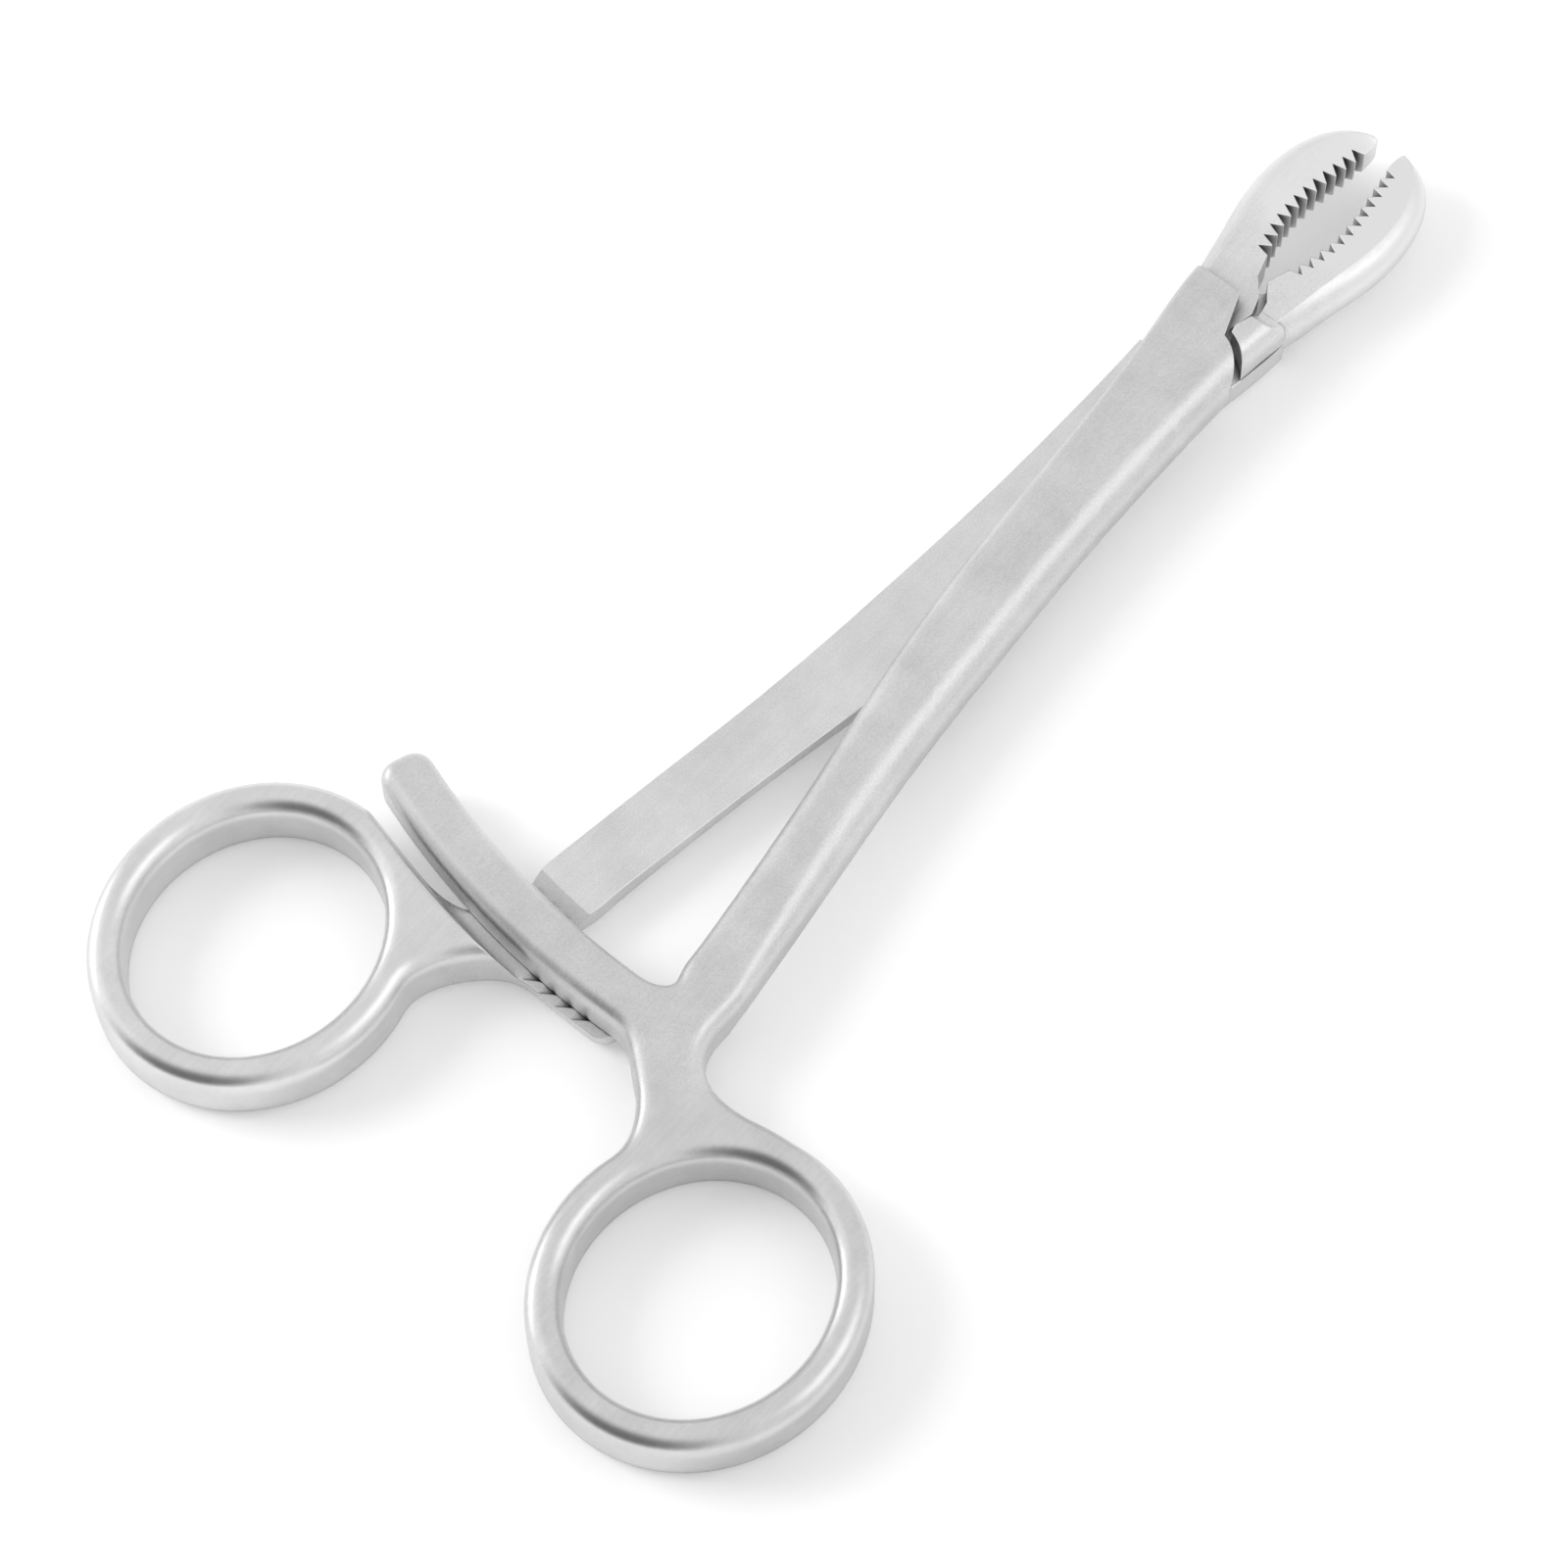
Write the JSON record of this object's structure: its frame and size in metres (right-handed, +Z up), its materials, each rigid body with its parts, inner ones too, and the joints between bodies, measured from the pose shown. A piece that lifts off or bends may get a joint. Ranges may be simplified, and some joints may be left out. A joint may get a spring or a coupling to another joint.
{
  "type": "bone holding forceps",
  "caption": "Ring handled bone holding forceps in stainless steel, with curved toothed jaws, a stepped lap joint and a rack and catch between the shanks.",
  "frame": {"origin": "on the joint's axis at the instrument's underside, where the rivet's flush end lies on the table", "axes": "+X from the joint to the jaw tips, +Y to the side of the lower lever's finger ring, +Z up out of the table along the joint's axis"},
  "size_m": [0.1405, 0.0764, 0.0066],
  "materials": {
    "upper_lever_steel": "satin",
    "lower_lever_steel": "satin",
    "pin_steel": "satin"
  },
  "bodies": {
    "lower": {"lower_lever": "lower_lever_steel"},
    "upper": {"upper_lever": "upper_lever_steel", "pivot_pin": "pin_steel"}
  },
  "joints": [
    {"name": "lever_hinge", "type": "hinge", "parent": "lower", "child": "upper", "pos_m": [0, 0, 0.0033], "axis": [0, 0, 1], "range_deg": [-4.4, 45]}
  ]
}
